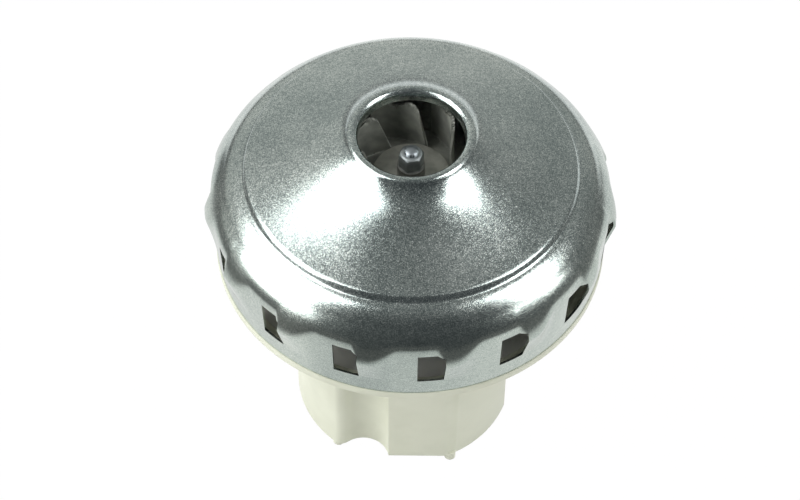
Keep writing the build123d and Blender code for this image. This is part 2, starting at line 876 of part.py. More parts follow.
with BuildPart() as armature_winding:
    head_bottom = core_bottom - end_plate
    head_start = core_top + end_plate
    extrude(annulus(head_outer, head_inner, head_bottom), amount=-lower_head)
    extrude(annulus(head_outer, head_inner, head_start), amount=upper_head)
    fillet(armature_winding.edges().filter_by(GeomType.CIRCLE).group_by(Axis.Z)[0], head_round)
    fillet(armature_winding.edges().filter_by(GeomType.CIRCLE).group_by(Axis.Z)[-1], head_round)
    with BuildSketch(Plane.XY.offset(head_bottom)):
        with PolarLocations(core_radius - core_slot_depth, core_slot_count):
            Rectangle(
                head_outer - core_radius + core_slot_depth,
                core_slot_width,
                align=(Align.MIN, Align.CENTER),
            )
    extrude(amount=head_start - head_bottom)
finish(armature_winding.part, "armature_winding")

with BuildPart() as commutator_hub:
    extrude(annulus(commutator_hub_radius, shaft_radius, commutator_bottom), amount=commutator_height)
finish(commutator_hub.part, "commutator_hub")

with BuildPart() as commutator_segments:
    segment_half = 180 / segment_count - segment_gap_angle / 2
    commutator_top = commutator_bottom + commutator_height
    extrude(
        sector(commutator_radius, commutator_hub_radius, -segment_half, segment_half, commutator_bottom),
        amount=commutator_height,
    )
    extrude(
        sector(riser_radius, commutator_hub_radius, -segment_half, segment_half, commutator_top),
        amount=-riser_height,
    )
    with PolarLocations(0, segment_count):
        add(commutator_segments.part)
finish(commutator_segments.part, "commutator_segments")

# Stator: laminated core, two field coils round its poles and their slot liners

stack_top = stack_bottom + stack_height

with BuildPart() as stator_core:
    with BuildSketch(Plane.XY.offset(stack_bottom)):
        Circle(stack_radius)
        Rectangle(2 * stack_flat, 2 * stack_radius, mode=Mode.INTERSECT)
        Circle(core_radius + air_gap, mode=Mode.SUBTRACT)
        with Locations(
            (flute_x, flute_y),
            (flute_x, -flute_y),
            (-flute_x, flute_y),
            (-flute_x, -flute_y),
        ):
            Circle(flute_radius + wall + stator_clearance, mode=Mode.SUBTRACT)
        for side in (0, 180):
            add(
                sector(slot_outer, slot_inner, side - slot_half_angle, side + slot_half_angle, 0),
                mode=Mode.SUBTRACT,
            )
            add(
                sector(slot_inner + air_gap, core_radius, side - slot_mouth_angle, side + slot_mouth_angle, 0),
                mode=Mode.SUBTRACT,
            )
        with PolarLocations(stator_screw_circle, 2, start_angle=screw_turn):
            Circle(stator_screw_radius + screw_clearance, mode=Mode.SUBTRACT)
    extrude(amount=stack_height)
finish(stator_core.part, "stator_core")

coil_outer = slot_outer - frame_thickness
coil_inner = slot_inner + frame_thickness

with BuildPart() as field_coil_back:
    extrude(
        sector(coil_outer, coil_inner, coil_split_angle, 180 - coil_split_angle, stack_bottom - coil_overhang),
        amount=stack_height + 2 * coil_overhang,
    )
    fillet(field_coil_back.edges().filter_by(GeomType.CIRCLE), coil_round)
    extrude(
        sector(slot_outer, slot_inner, coil_leg_angle, 180 - coil_leg_angle, stack_bottom),
        amount=stack_height,
        mode=Mode.SUBTRACT,
    )
finish(field_coil_back.part, "field_coil_back")
finish(field_coil_back.part.rotate(Axis.Z, 180), "field_coil_front")

with BuildPart() as coil_liners:
    for side in (0, 180):
        for start in (side + coil_split_angle - liner_angle, side - slot_half_angle):
            end = start + slot_half_angle - coil_split_angle + liner_angle
            extrude(sector(slot_outer, slot_inner, start, end, stack_bottom), amount=stack_height)
    for side in (0, 180):
        for start in (side + coil_split_angle, side - coil_leg_angle):
            end = start + coil_leg_angle - coil_split_angle
            extrude(
                sector(coil_outer, coil_inner, start, end, stack_bottom),
                amount=stack_height,
                mode=Mode.SUBTRACT,
            )
finish(coil_liners.part, "coil_liners")

with BuildPart() as stator_screws:
    with BuildSketch(Plane.XY.offset(stack_top)):
        with PolarLocations(stator_screw_circle, 2, start_angle=screw_turn):
            Circle(stator_screw_radius)
    extrude(amount=-stack_height - stator_screw_depth)
    with BuildSketch(Plane.XY.offset(stack_top)):
        with PolarLocations(stator_screw_circle, 2, start_angle=screw_turn):
            Circle(stator_head_radius)
    extrude(amount=stator_head_height)
    with BuildSketch(Plane.XY.offset(stack_top + stator_head_height)):
        with PolarLocations(stator_screw_circle, 2, start_angle=screw_turn):
            Rectangle(2 * stator_head_radius, screw_slot)
    extrude(amount=-screw_slot, mode=Mode.SUBTRACT)
finish(stator_screws.part, "stator_screws")

# Brush gear: a carbon brush, its brass tube, moulded holder, spring and cap on each side

tube_width = brush_width + 2 * (brush_fit + tube_wall)
tube_tall = brush_tall + 2 * (brush_fit + tube_wall)
holder_top = brush_height + tube_tall / 2 + holder_wall
brush_end = brush_start + brush_length

with BuildPart() as brush_right:
    with BuildSketch(Plane.YZ.offset(brush_start)):
        with Locations((0, brush_height)):
            Rectangle(brush_width, brush_tall)
    extrude(amount=brush_length)
    extrude(
        annulus(commutator_radius + brush_fit, 0, commutator_bottom),
        amount=commutator_height,
        mode=Mode.SUBTRACT,
    )
finish(brush_right.part, "brush_right")
finish(brush_right.part.rotate(Axis.Z, 180), "brush_left")

with BuildPart() as brush_tube_right:
    with BuildSketch(Plane.YZ.offset(tube_start)):
        with Locations((0, brush_height)):
            Rectangle(tube_width, tube_tall)
            Rectangle(brush_width + 2 * brush_fit, brush_tall + 2 * brush_fit, mode=Mode.SUBTRACT)
    extrude(amount=tube_end - tube_start)
finish(brush_tube_right.part, "brush_tube_right")
finish(brush_tube_right.part.rotate(Axis.Z, 180), "brush_tube_left")

with BuildPart() as brush_holder_right:
    with BuildSketch(Plane.YZ.offset(holder_start)):
        with BuildLine():
            Polyline(
                (-holder_foot_half, floor_top),
                (-holder_foot_half, floor_top + holder_foot),
                (-tube_width / 2 - holder_wall, floor_top + holder_foot),
                (-tube_width / 2 - holder_wall, holder_top),
                (tube_width / 2 + holder_wall, holder_top),
                (tube_width / 2 + holder_wall, floor_top + holder_foot),
                (holder_foot_half, floor_top + holder_foot),
                (holder_foot_half, floor_top),
                close=True,
            )
        make_face()
        with Locations((0, brush_height)):
            Rectangle(tube_width, tube_tall, mode=Mode.SUBTRACT)
    extrude(amount=tube_end - holder_start)
    with Locations(
        (holder_screw_place, holder_screw_spread, floor_top + holder_foot),
        (holder_screw_place, -holder_screw_spread, floor_top + holder_foot),
    ):
        Hole(screw_radius + screw_clearance)
finish(brush_holder_right.part, "brush_holder_right")
finish(brush_holder_right.part.rotate(Axis.Z, 180), "brush_holder_left")

with BuildPart() as brush_cap_right:
    with BuildSketch(Plane.YZ.offset(tube_end)):
        with Locations((0, brush_height)):
            Rectangle(tube_width, tube_tall)
    extrude(amount=cap_thickness)
finish(brush_cap_right.part, "brush_cap_right")
finish(brush_cap_right.part.rotate(Axis.Z, 180), "brush_cap_left")

spring_pitch = (tube_end - brush_end - spring_wire) / spring_turns

with BuildPart() as brush_spring_right:
    with BuildLine():
        coil = Helix(
            spring_pitch,
            spring_turns * spring_pitch,
            spring_radius,
            center=(brush_end + spring_wire / 2, 0, brush_height),
            direction=(1, 0, 0),
        )
    with BuildSketch(Plane(coil @ 0, z_dir=coil % 0)):
        Circle(spring_wire / 2)
    sweep()
finish(brush_spring_right.part, "brush_spring_right")
finish(brush_spring_right.part.rotate(Axis.Z, 180), "brush_spring_left")

with BuildPart() as holder_screws:
    foot_top = floor_top + holder_foot
    with BuildSketch(Plane.XY.offset(foot_top)):
        with GridLocations(2 * holder_screw_place, 2 * holder_screw_spread, 2, 2):
            Circle(screw_radius)
    extrude(amount=-holder_foot - floor_thickness + screw_clearance)
    with BuildSketch(Plane.XY.offset(foot_top)):
        with GridLocations(2 * holder_screw_place, 2 * holder_screw_spread, 2, 2):
            Circle(screw_head_radius)
    extrude(amount=screw_head_height)
    with BuildSketch(Plane.XY.offset(foot_top + screw_head_height)):
        with GridLocations(2 * holder_screw_place, 2 * holder_screw_spread, 2, 2):
            Rectangle(2 * screw_head_radius, screw_slot)
    extrude(amount=-screw_slot, mode=Mode.SUBTRACT)
finish(holder_screws.part, "holder_screws")

# Flat terminals in a block that plugs into the back wall

with BuildPart() as terminal_block:
    with BuildSketch(Plane.XZ.offset(-front_flat)):
        with Locations((block_x, terminal_height)):
            Rectangle(block_width + 2 * block_lip, block_height + 2 * block_lip)
    extrude(amount=-block_lip)
    with BuildSketch(Plane.XZ.offset(-front_flat)):
        with Locations((block_x, terminal_height)):
            Rectangle(block_width - 2 * block_fit, block_height - 2 * block_fit)
    extrude(amount=wall + block_lip)
    with BuildSketch(Plane.XZ.offset(-block_outer)):
        with Locations(
            (block_x - terminal_spread, terminal_height),
            (block_x + terminal_spread, terminal_height),
        ):
            Rectangle(terminal_width, terminal_thickness)
    extrude(amount=block_outer - block_inner, mode=Mode.SUBTRACT)
finish(terminal_block.part, "terminal_block")


def blade_plan(place):
    """Plan of a flat terminal blade with a cropped tip and a small hole."""
    with BuildSketch(Plane.XY.offset(terminal_height - terminal_thickness / 2)) as plan:
        with Locations((place, block_inner - terminal_inner)):
            Rectangle(
                terminal_width,
                block_outer - block_inner + terminal_inner + terminal_length,
                align=(Align.CENTER, Align.MIN),
            )
        chamfer(plan.vertices().group_by(Axis.Y)[-1], terminal_crop)
        with Locations((place, block_outer + terminal_length / 2)):
            Circle(terminal_hole, mode=Mode.SUBTRACT)
    return plan.sketch


with BuildPart() as terminal_left:
    extrude(blade_plan(block_x - terminal_spread), amount=terminal_thickness)
finish(terminal_left.part, "terminal_left")

with BuildPart() as terminal_right:
    extrude(blade_plan(block_x + terminal_spread), amount=terminal_thickness)
finish(terminal_right.part, "terminal_right")
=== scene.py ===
import json
import math

import bpy
from mathutils import Matrix, Vector


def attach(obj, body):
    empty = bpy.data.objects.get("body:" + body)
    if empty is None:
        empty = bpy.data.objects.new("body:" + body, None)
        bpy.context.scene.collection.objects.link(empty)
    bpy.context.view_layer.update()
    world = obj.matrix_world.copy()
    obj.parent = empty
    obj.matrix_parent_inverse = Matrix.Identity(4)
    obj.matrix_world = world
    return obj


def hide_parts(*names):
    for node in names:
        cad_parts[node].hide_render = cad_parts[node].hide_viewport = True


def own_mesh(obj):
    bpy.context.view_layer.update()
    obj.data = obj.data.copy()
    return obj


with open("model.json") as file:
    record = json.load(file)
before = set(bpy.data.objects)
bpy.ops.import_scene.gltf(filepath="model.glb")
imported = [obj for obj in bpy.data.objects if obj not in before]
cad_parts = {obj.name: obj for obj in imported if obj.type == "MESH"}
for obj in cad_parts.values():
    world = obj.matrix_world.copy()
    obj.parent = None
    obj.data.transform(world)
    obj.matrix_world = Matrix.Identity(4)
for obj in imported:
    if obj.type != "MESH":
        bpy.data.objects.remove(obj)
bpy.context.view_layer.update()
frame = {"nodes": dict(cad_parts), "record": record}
MM = 0.001
bpy.ops.object.select_all(action="DESELECT")

# Fan cover: one sheet of galvanised steel, 0.8 mm thick, drawn into a dome with a rolled eye.
# The band is pierced with 15 windows, and beside each window the sheet is pressed out into a
# louvre. The cover is pushed over the ring on the housing's flange.


class Value:
    """A number that runs through a material's nodes and takes part in sums."""

    def __init__(self, tree, socket):
        self.tree = tree
        self.socket = socket

    def sum_with(self, operation, first, second):
        """Adds a math node whose inputs are plain numbers or other values."""
        node = self.tree.nodes.new("ShaderNodeMath")
        node.operation = operation
        for slot, item in zip(node.inputs, (first, second)):
            if isinstance(item, Value):
                self.tree.links.new(item.socket, slot)
            else:
                slot.default_value = item
        return Value(self.tree, node.outputs[0])

    def __add__(self, other):
        return self.sum_with("ADD", self, other)

    __radd__ = __add__

    def __mul__(self, other):
        return self.sum_with("MULTIPLY", self, other)

    __rmul__ = __mul__

    def __sub__(self, other):
        return self.sum_with("SUBTRACT", self, other)

    def __rsub__(self, other):
        return self.sum_with("SUBTRACT", other, self)


class Nodes:
    """A node tree, with one method that makes every node in it."""

    def __init__(self, tree):
        self.tree = tree

    def node(self, kind, settings=None, inputs=None):
        """Adds a node and returns its outputs by name.

        settings holds what the node itself says, where stops are a colour ramp's places and
        colours, and inputs holds a number, a colour or a Value for each socket.
        """
        made = self.tree.nodes.new(kind)
        for name, value in (settings or {}).items():
            if name == "stops":
                ramp = made.color_ramp
                while len(ramp.elements) < len(value):
                    ramp.elements.new(0.5)
                for element, (at, colour) in zip(ramp.elements, value):
                    element.position = at
                    element.color = (*colour, 1.0)
            else:
                setattr(made, name, value)
        for name, value in (inputs or {}).items():
            if isinstance(value, Value):
                self.tree.links.new(value.socket, made.inputs[name])
            else:
                made.inputs[name].default_value = value
        return {out.name: Value(self.tree, out) for out in made.outputs if out.enabled}

    def colours(self, amount, *stops):
        """The colour at an amount, from stops of a place and its colour."""
        return self.node("ShaderNodeValToRGB", {"stops": stops}, {"Fac": amount})["Color"]


class Finish(Nodes):
    """A material with its main shader."""

    def __init__(self, name, metallic=0.0, specular=0.5):
        self.material = bpy.data.materials.new(name)
        self.material.use_nodes = True
        super().__init__(self.material.node_tree)
        self.shader = self.tree.nodes["Principled BSDF"]
        self.shader.inputs["Metallic"].default_value = metallic
        self.shader.inputs["Specular IOR Level"].default_value = specular
        self.place = self.node("ShaderNodeTexCoord")["Object"]

    def noise(self, scale, detail=2.0, stretch=(1.0, 1.0, 1.0)):
        """A noise pattern fixed to the piece. A small stretch draws it out along that axis."""
        inputs = {"Vector": self.place, "Scale": stretch}
        moved = self.node("ShaderNodeMapping", {}, inputs)["Vector"]
        inputs = {"Vector": moved, "Scale": scale, "Detail": detail}
        return self.node("ShaderNodeTexNoise", {}, inputs)["Fac"]

    def feed(self, **inputs):
        """Sets the shader's inputs, named with _ for each space."""
        for name, value in inputs.items():
            slot = self.shader.inputs[name.replace("_", " ")]
            if isinstance(value, Value):
                self.tree.links.new(value.socket, slot)
            else:
                slot.default_value = value

    def bump(self, height, strength, depth):
        """Raises the surface by a pattern, with its full depth in metres."""
        made = self.node(
            "ShaderNodeBump", {}, {"Height": height, "Strength": strength, "Distance": depth}
        )
        self.feed(Normal=made["Normal"])

    def dress(self, pattern, dark, pale, rough, relief):
        """Feeds colour, roughness and bump from one pattern.

        rough is what the pattern adds to the roughness, and the roughness without it.
        relief is the bump's strength and its depth.
        """
        self.feed(
            Base_Color=self.colours(pattern, dark, pale),
            Roughness=pattern * rough[0] + rough[1],
        )
        self.bump(pattern, *relief)


galvanised = Finish("galvanised_sheet", metallic=1.0)
zinc_grain = galvanised.noise(2500.0, 2.0)
zinc_cloud = galvanised.noise(700.0, 2.0)
zinc_rub = galvanised.noise(26.0, 4.0, (1.0, 1.0, 0.3))
zinc_height = galvanised.node("ShaderNodeSeparateXYZ", {}, {"Vector": galvanised.place})["Z"]

# The band was rubbed smooth in the press, so the grain fades from the dome down to a share of it.
DULL_BELOW, SPANGLED_ABOVE, BAND_SHARE = 0.118, 0.132, 0.35
on_dome = galvanised.node(
    "ShaderNodeMapRange",
    {},
    {
        "Value": zinc_height,
        "From Min": DULL_BELOW,
        "From Max": SPANGLED_ABOVE,
        "To Min": BAND_SHARE,
    },
)["Result"]
zinc_spread = (zinc_grain * 0.8 + zinc_cloud * 0.2 - 0.5) * on_dome
zinc_tone = galvanised.colours(
    zinc_spread + zinc_rub * 0.3 + on_dome * 0.07 + 0.28,
    (0.38, (0.28, 0.335, 0.33)),
    (0.5, (0.49, 0.56, 0.54)),
    (0.62, (0.78, 0.84, 0.80)),
)
# The band below the dome is tinted warm in its colour: a painted reflection of warm light on the
# metal.
band_painted_reflection = galvanised.colours(on_dome, (BAND_SHARE, (1.0, 0.975, 0.925)), (1.0, (1.0, 1.0, 1.0)))
galvanised.feed(
    Base_Color=galvanised.node(
        "ShaderNodeMixRGB",
        {"blend_type": "MULTIPLY"},
        {"Fac": 1.0, "Color1": zinc_tone, "Color2": band_painted_reflection},
    )["Color"],
    Roughness=zinc_spread * 0.35 + zinc_rub * 0.16 + 0.13,
)
galvanised.bump(zinc_spread, 0.4, 0.00006)

# Sizes of the sheet in millimetres. Rises are above the band's lower edge, which lies at BASE,
# and angles in degrees run round the band from each window's edge at the louvre.
SHEET = 0.8
BASE = 93.0
EYE, EYE_LOW, EYE_TOP = 19.15, 53.2, 57.5
RING, RING_TOP, RING_CURVE = 22.85, 57.85, 2.1
NECK_STEPS = 36
NECK_SLOPE, NECK_EASE, NECK_DIP, NECK_REACH = 0.029, 0.000146, 0.148, 3.6
STEP, STEP_TOP, STEP_LOW = 60.4, 40.4, 38.5
SHOULDER_CURVE = 13.0
CONE, CONE_RISE = 67.9, 33.4
PLAIN_CROWN, LOUVRE_CROWN = 0.4, 0.95
FOLD, FOLD_RISE, EDGE = 72.7, 27.0, 71.3
PLAIN_SOFTNESS, LOUVRE_SHARPNESS, FOLD_PULL = 1.0, 0.75, 0.6
LOUVRE, LOUVRE_RISE, LOUVRE_FADE = 75.0, 19.5, 1.7
WINDOW_LOW, WINDOW_TOP = 7.6, 23.2
WINDOWS, WINDOW_ANGLE, RAMP_ANGLE, LOUVRE_ANGLE = 15, 7.5, 2.0, 11.5
PITCH_ANGLE = 360 / WINDOWS
FIRST_EDGE = 224.2 + WINDOW_ANGLE
CONE_ROWS, WINDOW_ROWS = 14, 20
CREASE = 38.0
HAIR = 0.01


def arc_points(start, end, radius, count):
    """Points on an arc from start to end, without the start itself."""
    run, rise = end[0] - start[0], end[1] - start[1]
    chord = math.hypot(run, rise)
    depth = math.sqrt(radius**2 - chord**2 / 4)
    middle = ((start[0] + end[0]) / 2, (start[1] + end[1]) / 2)
    centre = (middle[0] + depth * rise / chord, middle[1] - depth * run / chord)
    first = math.atan2(start[1] - centre[1], start[0] - centre[0])
    last = math.atan2(end[1] - centre[1], end[0] - centre[0])
    turns = [first + (last - first) * step / count for step in range(1, count + 1)]
    return [(centre[0] + radius * math.cos(t), centre[1] + radius * math.sin(t)) for t in turns]


def skirt_radius(rise, share):
    """Outer radius of cone and band at a rise, with the louvre's share of its full reach.

    Cone and band are straight lines that meet at the bend. The cone is crowned, and the bend is
    rounded by a smooth minimum of the two, sharper where the louvre stands out.
    """
    bend = FOLD + share * (LOUVRE - FOLD), FOLD_RISE + share * (LOUVRE_RISE - FOLD_RISE)
    down = (CONE_RISE - rise) / (CONE_RISE - bend[1])
    crown = (PLAIN_CROWN + LOUVRE_CROWN * share) * 4 * down * max(0.0, 1 - down)
    on_cone = CONE + down * (bend[0] - CONE) + crown
    foot = EDGE + (FOLD - EDGE) * WINDOW_LOW / FOLD_RISE
    on_band = foot + (rise - WINDOW_LOW) * (bend[0] - foot) / (bend[1] - WINDOW_LOW)
    if rise < WINDOW_LOW:
        on_band = EDGE + (FOLD - EDGE) * rise / FOLD_RISE
    soft = PLAIN_SOFTNESS - LOUVRE_SHARPNESS * share
    low = min(on_cone, on_band)
    both = math.exp((low - on_cone) / soft) + math.exp((low - on_band) / soft)
    return low - soft * math.log(both) * FOLD_PULL


def louvre_share(angle):
    """How far the louvre stands out at an angle from its window's edge."""
    if -RAMP_ANGLE < angle < 0:
        return 1 + angle / RAMP_ANGLE
    if 0 <= angle < LOUVRE_ANGLE:
        return 0.5 + 0.5 * math.cos(math.pi * (angle / LOUVRE_ANGLE) ** LOUVRE_FADE)
    return 0.0


# The profile runs from the eye's lip over its rolled ring, down the neck and the dome, over the
# step and round the shoulder. Each point is a radius and a rise.
lip = [(EYE, EYE_LOW), (EYE, EYE_LOW + 1.3), (EYE, EYE_TOP - 1.6)]
ring = arc_points(lip[-1], (RING + 0.35, RING_TOP - 1.45), RING_CURVE, 12)
neck = []
for place in range(1, NECK_STEPS + 1):
    out = place / NECK_STEPS * (STEP - 1.3 - ring[-1][0])
    dip = NECK_DIP * (1 - math.exp(-out / NECK_REACH))
    fall = (ring[-1][1] - STEP_TOP - 0.1) * (NECK_SLOPE * out - NECK_EASE * out**2 + dip)
    neck.append((ring[-1][0] + out, ring[-1][1] - fall))
end = neck[-1]
step = [
    (end[0] + 0.2, end[1] - 0.12),
    (end[0] + 0.4, end[1] - 0.35),
    (STEP - 0.45, STEP_LOW + 0.95),
    (STEP - 0.1, STEP_LOW + 0.3),
    (STEP + 0.2, STEP_LOW - 0.05),
    (STEP + 0.6, STEP_LOW - 0.25),
    (STEP + 1.1, STEP_LOW - 0.38),
]
shoulder = arc_points(step[-1], (CONE, CONE_RISE), SHOULDER_CURVE, 7)
crown_profile = lip + ring + neck + step + shoulder
drop = (CONE_RISE - WINDOW_TOP) / CONE_ROWS
skirt_rises = [CONE_RISE - drop * row for row in range(1, CONE_ROWS + 1)]
drop = (WINDOW_TOP - WINDOW_LOW) / WINDOW_ROWS
skirt_rises += [WINDOW_TOP - drop * row for row in range(1, WINDOW_ROWS + 1)]
skirt_rises += [WINDOW_LOW * share for share in (0.75, 0.5, 0.25, 0.0)]
profile = crown_profile + [(skirt_radius(rise, 0.0), rise) for rise in skirt_rises]

# Angles of the rows of faces across one window, its louvre and the plain sheet beyond.
columns = [-WINDOW_ANGLE, -6.0, -4.5, -3.2, -2.0, -1.3, -0.6]
columns += [LOUVRE_ANGLE * place / 13 for place in range(13)]
columns += [LOUVRE_ANGLE, 13.2, 14.9]
column_count = WINDOWS * len(columns)

cover_mesh = bpy.data.meshes.new("fan_cover_sheet")
points = [(radius * MM, 0.0, (BASE + rise) * MM) for radius, rise in profile]
cover_mesh.from_pydata(points, [(i, i + 1) for i in range(len(points) - 1)], [])
cover = bpy.data.objects.new("fan_cover_sheet", cover_mesh)
bpy.context.collection.objects.link(cover)


def edit(piece):
    """Selects one piece alone and opens its mesh with everything selected."""
    bpy.ops.object.select_all(action="DESELECT")
    piece.select_set(True)
    bpy.context.view_layer.objects.active = piece
    bpy.ops.object.mode_set(mode="EDIT")
    bpy.ops.mesh.select_all(action="SELECT")


edit(cover)
bpy.ops.mesh.spin(steps=column_count, angle=2 * math.pi, center=(0, 0, 0), axis=(0, 0, 1))
bpy.ops.mesh.select_all(action="SELECT")
bpy.ops.mesh.remove_doubles(threshold=0.00001)
bpy.ops.mesh.select_mode(type="FACE")
bpy.ops.mesh.select_all(action="DESELECT")
bpy.ops.object.mode_set(mode="OBJECT")

# The spun sheet is even all round. Its columns move to their angles, and the skirt is pressed
# out into the louvres.
for vertex in cover_mesh.vertices:
    turn = math.degrees(math.atan2(vertex.co.y, vertex.co.x)) % 360
    column = round(turn * column_count / 360) % column_count
    local = columns[column % len(columns)]
    angle = math.radians(FIRST_EDGE + PITCH_ANGLE * (column // len(columns)) + local)
    rise = vertex.co.z / MM - BASE
    radius = math.hypot(vertex.co.x, vertex.co.y)
    if rise < CONE_RISE - HAIR:
        radius = skirt_radius(rise, louvre_share(local)) * MM
    vertex.co.x = radius * math.cos(angle)
    vertex.co.y = radius * math.sin(angle)

# The windows are cut out, and the sheet's outside is made to face outwards.
for face in cover_mesh.polygons:
    rise = face.center.z / MM - BASE
    turn = math.degrees(math.atan2(face.center.y, face.center.x)) - FIRST_EDGE + WINDOW_ANGLE
    face.select = WINDOW_LOW < rise < WINDOW_TOP and turn % PITCH_ANGLE < WINDOW_ANGLE
bpy.ops.object.mode_set(mode="EDIT")
bpy.ops.mesh.delete(type="FACE")
bpy.ops.mesh.select_all(action="SELECT")
bpy.ops.mesh.normals_make_consistent(inside=False)
bpy.ops.object.mode_set(mode="OBJECT")
lowest = min(cover_mesh.polygons, key=lambda face: face.center.z)
if lowest.normal.dot(lowest.center) < 0:
    cover_mesh.flip_normals()

thickness = cover.modifiers.new("sheet", "SOLIDIFY")
thickness.thickness = SHEET * MM
thickness.offset = -1.0
thickness.use_even_offset = True
edit(cover)
bpy.ops.object.mode_set(mode="OBJECT")
bpy.ops.object.modifier_apply(modifier="sheet")
bpy.ops.object.shade_smooth_by_angle(angle=math.radians(CREASE))
cover_mesh.materials.append(galvanised.material)
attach(cover, "motor")
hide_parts("fan_cover")

# Motor housing: one moulding in cream plastic, with the flange that carries the cover, the
# cooling fan's chamber and the lobed body. Its edges are slightly round from the mould.
FLAT_TURN, EDGE_TURN, SMOOTH_TURN = 0.5, 40.0, 32.0


def smooth_copy(node, finish, body, round_edge=0.0):
    """A merged, smooth copy of a CAD piece with its finish, in place of the CAD node."""
    piece = bpy.data.objects.new(node + "_piece", frame["nodes"][node].data.copy())
    bpy.context.collection.objects.link(piece)
    piece.matrix_world = frame["nodes"][node].matrix_world
    edit(piece)
    bpy.ops.mesh.remove_doubles(threshold=0.000002)
    if round_edge:
        bpy.ops.mesh.dissolve_limited(angle_limit=math.radians(FLAT_TURN))
    bpy.ops.object.mode_set(mode="OBJECT")
    if round_edge:
        bevel = piece.modifiers.new("edges", "BEVEL")
        bevel.width = round_edge * MM
        bevel.segments = 2
        bevel.limit_method = "ANGLE"
        bevel.angle_limit = math.radians(EDGE_TURN)
        bevel.use_clamp_overlap = True
        bpy.ops.object.modifier_apply(modifier="edges")
    bpy.ops.object.shade_smooth_by_angle(angle=math.radians(SMOOTH_TURN))
    piece.data.materials.clear()
    piece.data.materials.append(finish.material)
    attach(piece, body)
    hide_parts(node)
    return piece


cream = Finish("cream_moulding", specular=0.45)
cream_cloud = cream.noise(35.0, 3.0)
cream_pore = cream.noise(1400.0, 2.0)
cream_grime = cream.noise(120.0, 4.0)
cream.feed(
    Base_Color=cream.colours(
        cream_cloud * 0.6 + cream_grime * 0.4,
        (0.3, (0.57, 0.585, 0.465)),
        (0.55, (0.645, 0.66, 0.54)),
        (0.8, (0.68, 0.695, 0.575)),
    ),
    Roughness=cream_grime * 0.2 + 0.36,
)
cream.bump(cream_pore * 0.5 + cream_cloud * 0.5, 0.2, 0.00008)
smooth_copy("motor_housing", cream, "motor", round_edge=0.35)

# Air guide: the moulded drum under the fan wheel, in pale grey plastic. It is seen through the
# cover's windows and is screwed to the flange from below.
grey = Finish("grey_moulding", specular=0.4)
grey_cloud = grey.noise(50.0, 3.0)
grey.feed(
    Base_Color=grey.colours(grey_cloud, (0.3, (0.84, 0.82, 0.77)), (0.7, (0.92, 0.90, 0.85))),
    Roughness=grey_cloud * 0.2 + 0.4,
)
grey.bump(grey.noise(1200.0, 2.0), 0.2, 0.00006)
smooth_copy("air_guide", grey, "motor")
smooth_copy("terminal_block", grey, "motor")

# Inducer: a moulded hub with seven twisted vanes in dark plastic, seen through the eye. The vanes
# pick up a little dust, spread at random.
dark = Finish("dark_moulding", specular=0.5)
dark_dust = dark.noise(160.0, 4.0)
dark.feed(
    Base_Color=dark.colours(dark_dust, (0.35, (0.17, 0.18, 0.16)), (0.65, (0.30, 0.31, 0.27))),
    Roughness=dark_dust * 0.25 + 0.3,
)
dark.bump(dark.noise(900.0, 2.0), 0.15, 0.00005)
smooth_copy("inducer", dark, "rotor")

# Fan wheel: back plate, blades and shroud of plain aluminium sheet, with the turned bush that
# spaces it from the bearing.
aluminium = Finish("aluminium_sheet", metallic=1.0)
aluminium.dress(
    aluminium.noise(700.0, 2.0, (1.0, 0.2, 1.0)),
    dark=(0.3, (0.62, 0.62, 0.62)),
    pale=(0.7, (0.78, 0.78, 0.775)),
    rough=(0.2, 0.28),
    relief=(0.15, 0.00003),
)
for node in ("impeller_back_plate", "impeller_blades", "impeller_shroud", "spacer_bush"):
    smooth_copy(node, aluminium, "rotor")

# Nut, washer and screws: zinc plated steel. The collar and the circlip are blacked steel, and
# the shaft and the bearings are ground steel.
zinc = Finish("zinc_plate", metallic=1.0)
zinc.dress(
    zinc.noise(300.0, 3.0),
    dark=(0.3, (0.24, 0.265, 0.27)),
    pale=(0.7, (0.38, 0.41, 0.41)),
    rough=(0.25, 0.36),
    relief=(0.15, 0.00003),
)
washed = Finish("dusty_washer", metallic=0.5)
washed.dress(
    washed.noise(260.0, 4.0),
    dark=(0.35, (0.32, 0.325, 0.285)),
    pale=(0.65, (0.47, 0.475, 0.42)),
    rough=(0.3, 0.35),
    relief=(0.2, 0.00004),
)
smooth_copy("clamp_washer", washed, "rotor")
smooth_copy("impeller_nut", zinc, "rotor")
smooth_copy("guide_screws", zinc, "motor")
blacked = Finish("blacked_steel", metallic=0.6)
blacked.dress(
    blacked.noise(400.0, 3.0),
    dark=(0.3, (0.13, 0.13, 0.12)),
    pale=(0.7, (0.24, 0.24, 0.22)),
    rough=(0.2, 0.32),
    relief=(0.15, 0.00003),
)
smooth_copy("lock_collar", blacked, "rotor")
ground = Finish("ground_steel", metallic=1.0)
ground.dress(
    ground.noise(500.0, 2.0, (0.1, 0.1, 1.0)),
    dark=(0.3, (0.24, 0.27, 0.29)),
    pale=(0.7, (0.38, 0.42, 0.44)),
    rough=(0.15, 0.3),
    relief=(0.1, 0.00002),
)
smooth_copy("shaft", ground, "rotor")

# Terminals: two flat tongues of plain brass strip, pushed into the moulded block. The brush
# tubes and their caps, inside, are of the same strip.
brass = Finish("brass_strip", metallic=1.0)
brass.dress(
    brass.noise(250.0, 3.0),
    dark=(0.3, (0.55, 0.4, 0.17)),
    pale=(0.7, (0.8, 0.63, 0.32)),
    rough=(0.25, 0.24),
    relief=(0.1, 0.00003),
)
smooth_copy("terminal_left", brass, "motor")
smooth_copy("terminal_right", brass, "motor")

# Brush springs: wound steel wire between each brush and the cap of its tube. In the motor a spring
# shortens towards its cap as the brush is pushed back into the tube; here each spring is a smooth
# copy with a mesh of its own.
for side, sign in (("left", -1), ("right", 1)):
    spring = smooth_copy("brush_spring_" + side, ground, "motor")
    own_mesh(spring)

